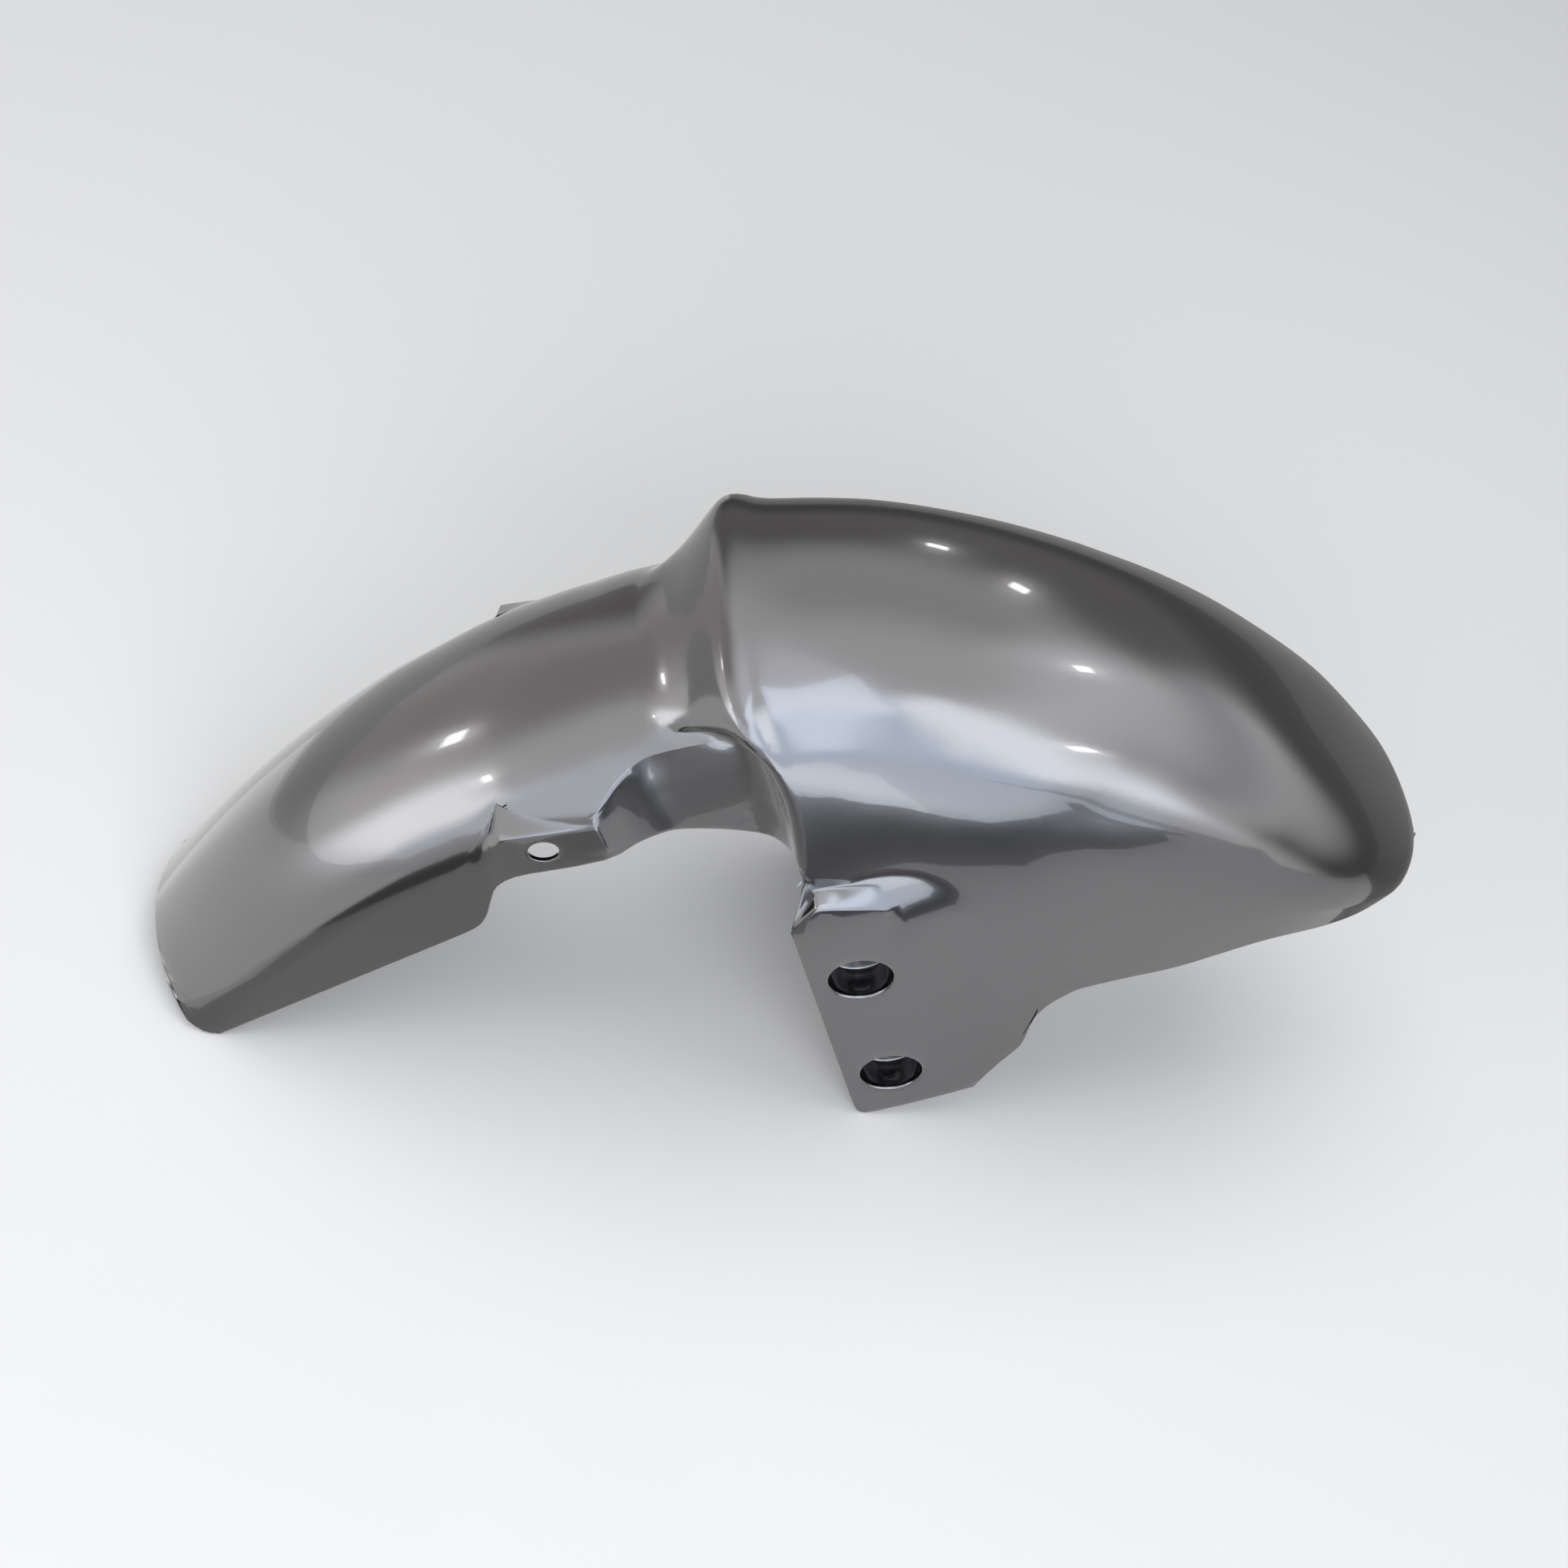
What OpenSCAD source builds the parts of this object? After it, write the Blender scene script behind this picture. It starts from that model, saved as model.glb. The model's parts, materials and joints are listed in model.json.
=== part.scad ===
// Front mudguard of a motorcycle, moulded in one piece.
// It is drawn as it sits on the fork, +X to the nose and +Z up, and then set down on the corners of its tabs
// and of its tail.

/* [Sheet] */
// Thickness of the moulded sheet
wall = 2.5; // [2:0.1:3]

/* [Crown line] */
// Radius of the crown over the wheel
crown_r = 342; // [338:1:346]
// Radius of the flatter stretch of the crown towards the nose
nose_flat_r = 900; // [850:10:950]
// Radius at which the tip of the nose curls down
nose_curl_r = 66; // [62:1:70]
// Radius of the crown of the tail
tail_r = 520; // [510:1:530]
// Angle of the crown at the crest of the step, back from upright
crest_angle = 17.1; // [16.7:0.1:17.5]

/* [Widths] */
// Half of the width at the end of the tail
tail_end_w = 62; // [59:0.5:65]
// Half of the width of the tail beside its rear pads
tail_w = 70; // [68:0.5:72]
// Half of the width at the crest of the step
crest_w = 78.5; // [76.5:0.5:80]
// Half of the width of the front, at its widest
front_w = 86; // [84:0.5:87]
// Half of the width of the neck between the two fork hollows
neck_w = 54; // [52:0.5:57]

/* [Step] */
// Radius of the fillet at the foot of the step
step_fillet_r = 40; // [34:1:46]
// Radius of the rounded crest
crest_r = 15; // [12:0.5:18]
// How far the rim bows forwards beside the fork leg
rim_bow = 9; // [7:0.5:11]

/* [Fork] */
// Lean of the fork legs from upright
fork_rake = 24.8; // [24.4:0.1:25.2]
// Radius of the hollow that clears each fork leg
hollow_r = 76; // [70:1:82]

/* [Fork tabs] */
// Half of the width over the outer faces of the tabs
tab_w = 88; // [87.5:0.5:92]
// Diameter of the mouth of each bolt well
well_d = 31; // [27:0.5:33]
// Depth of each bolt well
well_depth = 17; // [12:0.5:20]
// Diameter of the bolt hole in the floor of each well
bolt_d = 8.5; // [6.5:0.1:10]
// Distance between the two wells of a tab
well_pitch = 89; // [85:0.5:92]
// Distance of the wells from the rear edge of the tab
well_inset = 22; // [21:0.5:25]

/* [Rear pads] */
// Half of the width over the faces of the rear pads
pad_w = 71; // [70:0.5:74]
// Diameter of the hole in each rear pad
pad_hole_d = 14; // [8:0.5:16]

/* [Hidden] */
$fn = 36;

function mix(a, b, t) = a + (b - a) * t;
function unit(v) = v / max(norm(v), 1e-9);
function turned(a) = [sin(a), cos(a)];

// Crown line: one arc over the tail, three that run into each other from the crest to the tip of the nose
front_centre = [24.6, -34];
tail_centre = [167.2, -186.2];
nose_start = 32;
nose_curl = 38.2;
flat_centre = front_centre - (nose_flat_r - crown_r) * turned(nose_start);
curl_centre = flat_centre + (nose_flat_r - nose_curl_r) * turned(nose_curl);
function crown_front(a) =
    a < nose_start ? front_centre + crown_r * turned(a)
    : a < nose_curl ? flat_centre + nose_flat_r * turned(a)
    : curl_centre + nose_curl_r * turned(a);
function crown_tail(a) = tail_centre + tail_r * turned(a);

// The fork leg, seen from the side, and how far a point lies ahead of it
fork_down = [sin(fork_rake), -cos(fork_rake)];
fork_ahead = [cos(fork_rake), sin(fork_rake)];
fork_point = [-84, 233];
function ahead(p) = (p - fork_point) * fork_ahead;
function hollow_limit(q) = neck_w + hollow_r - sqrt(max(0, hollow_r * hollow_r - q * q));

// Columns of a half section, from the crown out: shoulder, the ledge's upper line, its lower line, the edge
j_shoulder = 10;
j_ledge = 13;
pad_columns = 3;
j_edge = j_ledge + 1 + pad_columns;
// Columns of a fork tab below the edge: the lower line of its ledge and the rows down to its foot
tab_rows_n = 4;
j_tab = j_edge + 1 + tab_rows_n;

// Each row of a plan: x and z of the edge, angle of the crown, half width, depth of the shoulder and its
// roundness, half width at the edge, share of the rear pad, height of the pad, and parts up to the next row
tail_plan = [
    [-297, 7, -67, tail_end_w + 1, 38, 1.75, tail_end_w + 1, 0, 12, 1],
    [-290, 0.5, -66.4, tail_end_w + 1, 40, 1.72, tail_end_w + 1, 0, 14, 1],
    [-282, -3, -65.6, tail_end_w + 1, 41, 1.7, tail_end_w + 1, 0, 16, 1],
    [-274, -3, -64.8, tail_end_w + 1, 42, 1.7, tail_end_w + 1, 0, 18, 1],
    [-268, 3, -64, tail_end_w + 1, 42, 1.72, tail_end_w + 1, 0, 20, 9],
    [-165, 107, -48.2, 66, 35, 2, 66, 0, 26, 1],
    [-160.5, 112.5, -47.4, 66, 35, 2, 66, 0, 26, 1],
    [-158.7, 119, -46.6, 66, 35, 2, 66, 0, 26, 3],
    [-158.4, 147, -41.8, 67, 35, 2, 67, 0, 26, 1],
    [-151.5, 161, -40.6, 68, 35, 2, 68, 1, 28, 4],
    [-109, 179, -36, tail_w, 37, 1.9, tail_w, 1, 26, 1],
    [-102.4, 183, -35, tail_w, 38, 1.9, tail_w, 0, 26, 2],
    [-91, 186.2, -33.8, tail_w, 38, 1.9, tail_w, 0, 26, 2],
    [-80, 187.8, -32.4, tail_w, 38, 1.9, tail_w, 0, 26, 0]
];
// Rows over the fork tabs, with x and z of the ledge's lower line and of the foot, and how far both stand in
tab_plan = [
    [-22, 186, -crest_angle, crest_w, 38, 2.5, 79, 0, 8, 1, -23.2, 158.6, 46.5, 9.5, 0, 0],
    [-17, 181, -16.2, crest_w, 42, 2.45, 79, 0, 8, 1, -16, 178.5, 48.6, 5.6, 0, 0],
    [-11, 183.2, -15.4, crest_w, 44, 2.4, 79.2, 0, 8, 1, -10.8, 179.4, 52, 3.2, 0, 0],
    [-4, 186.2, -14.3, 79, 47, 2.4, 79.5, 0, 8, 2, -3.5, 180.6, 57, 3.2, 0, 0],
    [18, 198, -10.7, 80.5, 51.5, 2.4, 80.8, 0, 8, 1, 16.5, 183.6, 87.5, 24, 0, 0],
    [30, 200.3, -8.8, 81.3, 54, 2.4, 81.5, 0, 8, 1, 27, 182.6, 103.7, 35.2, 0, 0],
    [40, 196, -7, 82.3, 55, 2.4, 83, 0, 8, 1, 41, 189, 108.5, 52, 4.8, 1.5],
    [58, 185, -3.6, 83.5, 58, 2.4, 84.5, 0, 8, 2, 58, 180, 113.4, 66.6, 3.3, 1.2],
    [78, 170, 1, 85, 61, 2.3, 86, 0, 10, 2, 78, 165.5, 116, 76, 1.9, 0.8],
    [99, 154, 5.6, front_w, 64, 2.3, 87, 0, 12, 2, 99, 150, 115.7, 84, 0.9, 0.4],
    [128, 131, 11.3, front_w, 67, 2.3, tab_w, 0, 12, 0, 126.2, 129, 114.2, 98, 0, 0]
];
front_plan = [
    [128, 131, 11.3, front_w, 67, 2.3, tab_w, 0, 12, 1],
    [142, 139, 15, front_w, 67, 2.3, 87.5, 0, 12, 3],
    [170, 153, 22.5, front_w, 65, 2.3, 86.5, 0, 12, 3],
    [206, 178, 31.5, 84, 54, 2.35, 84, 0, 12, 2],
    [232, 183, 34, 78, 40, 2.4, 78, 0, 10, 2],
    [250, 184, 35.6, 71, 31, 2.4, 71, 0, 8, 1],
    [262, 182.6, 37, 63.5, 25, 2.4, 63.5, 0, 6, 1],
    [272.5, 181.7, 39, 56, 20, 2.4, 56, 0, 5, 1],
    [281.5, 181, 43.5, 46.5, 15, 2.4, 46.5, 0, 4, 1],
    [289.5, 180.5, 50, 34.5, 9.5, 2.3, 34.5, 0, 2.5, 1],
    [294.8, 180.2, 55.5, 23.5, 5.5, 2.2, 23.5, 0, 1.5, 1],
    [298.8, 180, 60.5, 12.5, 3.6, 2, 12.5, 0, 1, 0]
];
function rows_of(plan) = [
    for (k = [0:len(plan) - 2]) for (s = [0:plan[k][9] - 1]) mix(plan[k], plan[k + 1], s / plan[k][9]),
    plan[len(plan) - 1]
];

// Half width at a depth under the crown, and the depth at a half width
function section_y(h, w, hs, n, edge_w, edge_h) =
    h < hs ? w * pow(1 - pow(1 - h / hs, n), 1 / n)
    : edge_h > hs ? mix(w, edge_w, (h - hs) / (edge_h - hs)) : w;
function depth_at(y, w, hs, n) = hs * (1 - pow(1 - pow(min(1, y / w), n), 1 / n));

// Least height of the ledge over a rear pad, and how steeply it falls for how far the pad stands out
pad_ledge = 2;
pad_slope = 1.2;
// Share of a section's depth between two columns that the ledge pushes up
ledge_step = 0.02;

// Half section of a row: a list of points from the crown out to the edge
function half_section(row, crown, limit, bow) =
    let (
        edge = [row[0], row[1]],
        edge_h = norm(edge - crown),
        down = (edge - crown) / edge_h,
        side = [-down[1], down[0]],
        w = row[3],
        hs = row[4],
        n = row[5],
        pad_top = max(edge_h - row[8], edge_h * 0.4),
        least = min(pad_ledge, pad_top / 2),
        stands_out = row[7] * max(0, pad_w - min(section_y(pad_top, w, hs, n, row[6], edge_h), limit)),
        ledge = pad_top - max(least, stands_out * pad_slope),
        round_h = min(depth_at(min(limit, w), w, hs, n), (pad_top - least) * 0.9),
        turn = acos(pow(1 - round_h / hs, n / 2)),
        shoulder_h = min(round_h, ledge * (1 - ledge_step * (j_ledge - j_shoulder)))
    )
    [for (j = [0:j_edge])
        let (
            h = j <= j_shoulder
                ? min(hs * (1 - pow(cos(turn * j / j_shoulder), 2 / n)),
                    ledge * (1 - ledge_step * (j_ledge - j)))
                : j <= j_ledge ? mix(shoulder_h, ledge, (j - j_shoulder) / (j_ledge - j_shoulder))
                : mix(pad_top, edge_h, (j - j_ledge - 1) / pad_columns),
            y_plain = min(section_y(h, w, hs, n, row[6], edge_h), limit),
            y = j <= j_ledge ? y_plain : mix(y_plain, max(pad_w, y_plain), row[7]),
            q = crown + down * h + side * bow * sin(180 * h / edge_h)
        )
        [q[0], y, q[1]]];

tail_halves = [for (r = rows_of(tail_plan))
    let (crown = crown_tail(r[2]))
    half_section(r, crown, hollow_limit(ahead(crown)), 0)];
foot = tail_halves[len(tail_halves) - 1];
tab_plan_rows = rows_of(tab_plan);
tab_n = len(tab_plan_rows) - 1;
tab_halves = [for (k = [0:tab_n]) let (r = tab_plan_rows[k])
    half_section(r, crown_front(r[2]), tab_w, rim_bow * pow(1 - k / tab_n, 3))];
rim = tab_halves[0];
front_halves = [for (r = rows_of(front_plan)) half_section(r, crown_front(r[2]), tab_w, 0)];

// The step: a run along the tail, a fillet up the wall, and the rounded crest at the rim. Its curve lies in a
// plane, leaves the foot at one angle and meets the rim at another
// Length of the run on the crown, and beside the fork leg
lead_crown = 1;
lead_side = 38;
// How far the edge over the fork leg arches up, and how far the shoulder over it flares out
arch_rise = 4;
shoulder_flare = 11;
function step_curve(reach, rise, lead, start, end, crest) =
    let (
        most = ((reach - lead) * (reach - lead) + rise * rise) / (2 * rise),
        c = min(crest, most * 0.3),
        r = min(step_fillet_r, most * 0.95 - c),
        foot_centre = [lead * cos(start), lead * sin(start)] + r * [-sin(start), cos(start)],
        crest_centre = [reach, rise] - c * [-sin(end), cos(end)],
        between = crest_centre - foot_centre,
        slope = atan2(between[1], between[0]) + asin(min(1, (r + c) / norm(between)))
    )
    [
        for (k = [1:2]) lead * k / 2 * [cos(start), sin(start)],
        for (k = [1:4]) let (a = mix(start, slope, k / 4)) foot_centre + r * [sin(a), -cos(a)],
        for (k = [0:2]) let (a = mix(slope, end, k / 3)) crest_centre + c * [-sin(a), cos(a)]
    ];
step_columns = [for (j = [0:j_edge])
    let (
        gap = rim[j] - foot[j],
        share = pow(j / j_edge, 2),
        along = unit(mix([fork_ahead[0], 0, fork_ahead[1]], unit([gap[0], 0, gap[2]]), share)),
        reach = gap * along,
        rise = gap - along * reach,
        lead = mix(lead_crown, lead_side, min(1, pow(j / j_shoulder, 6))),
        free = 1 - min(1, j / j_shoulder),
        flare = sin(180 * min(1, pow(j / (j_shoulder - 1), 1.3))),
        curve = step_curve(reach, norm(rise), lead, free * (-tail_plan[len(tail_plan) - 1][2] - fork_rake),
            free * (crest_angle - fork_rake), crest_r * mix(1, 0.1, pow(j / j_edge, 1.4)))
    )
    [for (k = [0:len(curve) - 1])
        let (swell = sin(180 * curve[k][0] / reach))
        foot[j] + along * curve[k][0] + unit(rise) * curve[k][1]
            + [0, shoulder_flare * flare * swell, arch_rise * share * swell]]];
step_halves = [for (k = [0:len(step_columns[0]) - 1]) [for (c = step_columns) c[k]]];

// How far the front edge of a tab is hollowed
tab_hollow = 3.5;
// A fork tab's own columns: the lower line of the ledge, then down to the foot
function tab_column(k) =
    let (
        r = tab_plan_rows[k],
        low = [r[10], tab_w - r[14], r[11]],
        end = [r[12], tab_w - r[15], r[13]],
        bow = [-tab_hollow * max(0, 1 - (tab_n - k) / 3), 0, 0]
    )
    [for (s = [0:tab_rows_n]) mix(low, end, s / tab_rows_n) + bow * sin(180 * s / tab_rows_n)];
tab_full = [for (k = [0:tab_n]) concat(tab_halves[k], tab_column(k))];

// All half sections from the tail to the nose, then the whole grid with the left side mirrored from the right
function padded(h) = concat(h, [for (j = [j_edge + 1:j_tab]) h[j_edge]]);
halves = concat(
    [for (h = tail_halves) padded(h)], [for (h = step_halves) padded(h)], tab_full,
    [for (k = [1:len(front_halves) - 1]) padded(front_halves[k])]
);
i_rim = len(tail_halves) + len(step_halves);
rows_n = len(halves);
cols_n = 2 * j_tab + 1;
outer = [for (h = halves) [for (j = [-j_tab:j_tab]) [h[abs(j)][0], sign(j) * h[abs(j)][1], h[abs(j)][2]]]];

// Only the rows over the tabs have cells below the edge
function has_cell(i, c) =
    let (a = c >= j_tab ? c - j_tab : j_tab - 1 - c)
    i >= 0 && i < rows_n - 1 && a < (i >= i_rim && i < i_rim + tab_n ? j_tab : j_edge);

// The inner face lies one wall under the outer one, square to the cells that meet at a point, and straight
// inwards on the tabs
function cell_normal(i, c) =
    unit(cross(outer[i][c + 1] - outer[i + 1][c], outer[i + 1][c + 1] - outer[i][c]));
normals = [for (i = [0:rows_n - 2])
    [for (c = [0:cols_n - 2]) has_cell(i, c) ? cell_normal(i, c) : [0, 0, 0]]];
function total(list, k = 0) = k >= len(list) ? [0, 0, 0] : list[k] + total(list, k + 1);
function inward(i, c) =
    let (
        near = [for (a = [i - 1, i]) for (b = [c - 1, c]) if (has_cell(a, b)) normals[a][b]],
        m = unit(total(near))
    )
    len(near) == 0 ? [0, 0, 0]
    : abs(c - j_tab) > j_edge + 1 ? [0, -sign(c - j_tab) * wall, 0]
    : m * wall / max(0.55, min([for (n = near) n * m]));
inner = [for (i = [0:rows_n - 1]) [for (c = [0:cols_n - 1]) outer[i][c] + inward(i, c)]];

function at(i, c, side) = (side * rows_n + i) * cols_n + c;
function quad(a, b, c, d, flip) = flip ? [[a, b, d], [b, c, d]] : [[a, b, c], [a, c, d]];
function lip(i, c, i2, c2, flip) = quad(at(i, c, 0), at(i, c, 1), at(i2, c2, 1), at(i2, c2, 0), flip);
sheet_faces = [for (i = [0:rows_n - 2]) for (c = [0:cols_n - 2]) if (has_cell(i, c))
    let (flip = c >= j_tab)
    for (f = concat(
        quad(at(i, c, 0), at(i, c + 1, 0), at(i + 1, c + 1, 0), at(i + 1, c, 0), flip),
        quad(at(i + 1, c, 1), at(i + 1, c + 1, 1), at(i, c + 1, 1), at(i, c, 1), flip),
        has_cell(i - 1, c) ? [] : lip(i, c, i, c + 1, flip),
        has_cell(i + 1, c) ? [] : lip(i + 1, c + 1, i + 1, c, flip),
        has_cell(i, c - 1) ? [] : lip(i + 1, c, i, c, flip),
        has_cell(i, c + 1) ? [] : lip(i, c + 1, i + 1, c + 1, flip)
    )) f];

// The turn and the shift that set the part down on the corners of its tail and of its tabs
function lowest(list) = let (z = min([for (p = list) p[2]])) [for (p = list) if (p[2] == z) p][0];
tail_corner = lowest([for (h = tail_halves) h[j_edge]]);
tab_corner = lowest([for (h = tab_full) h[j_tab]]);
rest_turn = atan2(tab_corner[2] - tail_corner[2], tab_corner[0] - tail_corner[0]);
function laid(p) = [
    p[0] * cos(rest_turn) + p[2] * sin(rest_turn), p[1], p[2] * cos(rest_turn) - p[0] * sin(rest_turn)
];
laid_x = [for (face = [outer, inner]) for (r = face) for (p = r) laid(p)[0]];
rest_shift = [-(min(laid_x) + max(laid_x)) / 2, 0, -min([for (r = outer) for (p = r) laid(p)[2]])];

// Holes, seen from the side: the upper well lies this far down the fork leg from the top of the tab
tab_top = [-24, 167];
first_well = 57;
wells = [for (s = [0, well_pitch]) tab_top + fork_down * (first_well + s) + fork_ahead * well_inset];
pad_hole = [-141.6, 181.3];

// A round bar square to the side of the mudguard, between two distances from its middle
module bar(at_point, d, from, to) {
    for (side = [-1, 1])
        translate([at_point[0], side * from, at_point[1]])
            rotate([-90 * side, 0, 0])
                cylinder(d = d, h = to - from);
}

module sheet() {
    corners = [for (face = [outer, inner]) for (r = face) for (p = r) p];
    polyhedron(points = corners, faces = sheet_faces, convexity = 8);
}

module mudguard() {
    cup_end = tab_w - well_depth - wall;
    color("dimgray") translate(rest_shift) rotate([0, rest_turn, 0])
        difference() {
            union() {
                sheet();
                for (w = wells)
                    bar(w, well_d + 2 * wall, cup_end, tab_w - wall / 2);
            }
            for (w = wells) {
                bar(w, well_d, cup_end + wall, tab_w + 1);
                bar(w, bolt_d, cup_end - 1, tab_w);
            }
            bar(pad_hole, pad_hole_d, pad_w - 2 * wall, pad_w + 1);
        }
}

mudguard();
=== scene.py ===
"""Looks of the front mudguard.

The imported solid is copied, softened like a moulding and given a metallic lacquer outside and bare
plastic inside. It stands on a pale studio floor, in a room that only shows in its reflections.
"""

import json
import logging
import math
from dataclasses import dataclass, field
from enum import Enum

import bpy
from mathutils import Matrix, Vector

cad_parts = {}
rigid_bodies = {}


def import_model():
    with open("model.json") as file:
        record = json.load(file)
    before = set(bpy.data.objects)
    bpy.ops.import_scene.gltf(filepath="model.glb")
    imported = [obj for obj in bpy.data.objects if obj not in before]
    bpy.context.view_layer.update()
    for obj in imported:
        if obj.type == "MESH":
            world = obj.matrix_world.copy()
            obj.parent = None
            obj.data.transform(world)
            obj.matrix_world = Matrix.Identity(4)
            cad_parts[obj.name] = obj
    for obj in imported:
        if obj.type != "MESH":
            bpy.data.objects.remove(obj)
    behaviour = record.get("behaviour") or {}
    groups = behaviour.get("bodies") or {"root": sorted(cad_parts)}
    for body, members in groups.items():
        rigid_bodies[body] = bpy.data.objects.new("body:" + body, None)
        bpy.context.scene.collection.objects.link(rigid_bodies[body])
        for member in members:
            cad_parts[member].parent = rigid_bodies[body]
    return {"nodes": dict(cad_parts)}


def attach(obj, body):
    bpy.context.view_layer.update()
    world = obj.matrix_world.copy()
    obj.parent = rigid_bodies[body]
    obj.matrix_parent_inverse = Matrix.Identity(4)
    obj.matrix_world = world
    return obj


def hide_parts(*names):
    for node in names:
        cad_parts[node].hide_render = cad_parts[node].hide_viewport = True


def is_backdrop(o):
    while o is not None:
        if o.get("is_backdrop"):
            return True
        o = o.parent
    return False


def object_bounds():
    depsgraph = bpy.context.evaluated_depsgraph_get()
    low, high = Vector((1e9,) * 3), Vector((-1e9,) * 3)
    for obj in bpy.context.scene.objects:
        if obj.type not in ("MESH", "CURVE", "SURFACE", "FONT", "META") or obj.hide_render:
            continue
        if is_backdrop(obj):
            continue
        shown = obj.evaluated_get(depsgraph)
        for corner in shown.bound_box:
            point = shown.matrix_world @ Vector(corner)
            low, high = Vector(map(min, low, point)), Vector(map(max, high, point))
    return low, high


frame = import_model()

log = logging.getLogger("mudguard")

Colour = tuple[float, float, float]
Point = tuple[float, float, float]
Spot = tuple[float, float]
Socket = bpy.types.NodeSocket

NODE = "mudguard"
BODY = "root"

WHITE: Colour = (1.0, 1.0, 1.0)
WARM: Colour = (1.0, 0.98, 0.95)


class Side(Enum):
    """The two faces of the moulded sheet, each with its own material slot."""

    PAINTED = 0
    BARE = 1


def rgba(colour: Colour, level: float = 1.0) -> tuple[float, float, float, float]:
    """A colour at a level of brightness, with full opacity.

    Args:
        colour: the colour.
        level: what its three parts are multiplied by.

    Returns:
        The four values of a colour socket.
    """
    return (*(level * part for part in colour), 1.0)


def only(piece: bpy.types.Object) -> None:
    """Makes one object the only selected one, and the active one.

    Args:
        piece: the object.
    """
    bpy.ops.object.select_all(action="DESELECT")
    piece.select_set(True)
    bpy.context.view_layer.objects.active = piece


@dataclass(frozen=True)
class Nodes:
    """The nodes of one material, with the kinds that the materials here share.

    Attributes:
        material: the material.
    """

    material: bpy.types.Material

    @classmethod
    def named(cls, name: str) -> "Nodes":
        """Starts a material.

        Args:
            name: its name.

        Returns:
            The nodes of the new material.
        """
        material = bpy.data.materials.new(name)
        material.use_nodes = True
        return cls(material)

    @property
    def shader(self) -> bpy.types.Node:
        """The surface shader that a new material comes with."""
        return self.material.node_tree.nodes["Principled BSDF"]

    def add(self, kind: str, operation: str = "") -> bpy.types.Node:
        """Adds one node.

        Args:
            kind: its type.
            operation: what it works out, where it is a node of mathematics.

        Returns:
            The new node.
        """
        node = self.material.node_tree.nodes.new(kind)
        if operation:
            node.operation = operation
        return node

    def link(self, source: Socket, target: Socket) -> None:
        """Links two sockets.

        Args:
            source: the output.
            target: the input.
        """
        self.material.node_tree.links.new(source, target)

    def place(self) -> Socket:
        """The place on the piece, in its own coordinates."""
        return self.add("ShaderNodeTexCoord").outputs["Object"]

    def noise(self, place: Socket, scale: float, detail: float) -> Socket:
        """Noise over the piece.

        Args:
            place: where it is worked out.
            scale: its cells per metre.
            detail: its octaves.

        Returns:
            The noise, from 0 to 1.
        """
        noise = self.add("ShaderNodeTexNoise")
        noise.inputs["Scale"].default_value = scale
        noise.inputs["Detail"].default_value = detail
        self.link(place, noise.inputs["Vector"])
        return noise.outputs["Fac"]

    def about(self, value: Socket, middle: float, swing: float) -> Socket:
        """Spreads a value from 0 to 1 evenly about a middle.

        Args:
            value: the value.
            middle: what 0.5 becomes.
            swing: how far 0 and 1 lie from the middle.

        Returns:
            The spread value.
        """
        spread = self.add("ShaderNodeMapRange")
        spread.inputs["To Min"].default_value = middle - swing
        spread.inputs["To Max"].default_value = middle + swing
        self.link(value, spread.inputs["Value"])
        return spread.outputs["Result"]

    def scaled(self, colour: Colour, factor: Socket) -> Socket:
        """A colour made lighter and darker.

        Args:
            colour: the colour.
            factor: what it is multiplied by.

        Returns:
            The colour.
        """
        shade = self.add("ShaderNodeVectorMath", "SCALE")
        shade.inputs[0].default_value = colour
        self.link(factor, shade.inputs["Scale"])
        return shade.outputs["Vector"]

    def bump(self, height: Socket, strength: float, depth: float) -> Socket:
        """A fine relief.

        Args:
            height: its height, from 0 to 1.
            strength: how much of it shows.
            depth: its full height, in metres.

        Returns:
            The bent normal.
        """
        bump = self.add("ShaderNodeBump")
        bump.inputs["Strength"].default_value = strength
        bump.inputs["Distance"].default_value = depth
        self.link(height, bump.inputs["Height"])
        return bump.outputs["Normal"]

    def only_glows(self) -> Socket:
        """Makes the material one that only glows, and that the render takes no light samples from.

        Returns:
            The socket for the colour of its glow.
        """
        self.material.cycles.emission_sampling = "NONE"
        self.material.node_tree.nodes.remove(self.shader)
        glow = self.add("ShaderNodeEmission")
        output = self.material.node_tree.nodes["Material Output"]
        self.link(glow.outputs["Emission"], output.inputs["Surface"])
        return glow.inputs["Color"]


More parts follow.
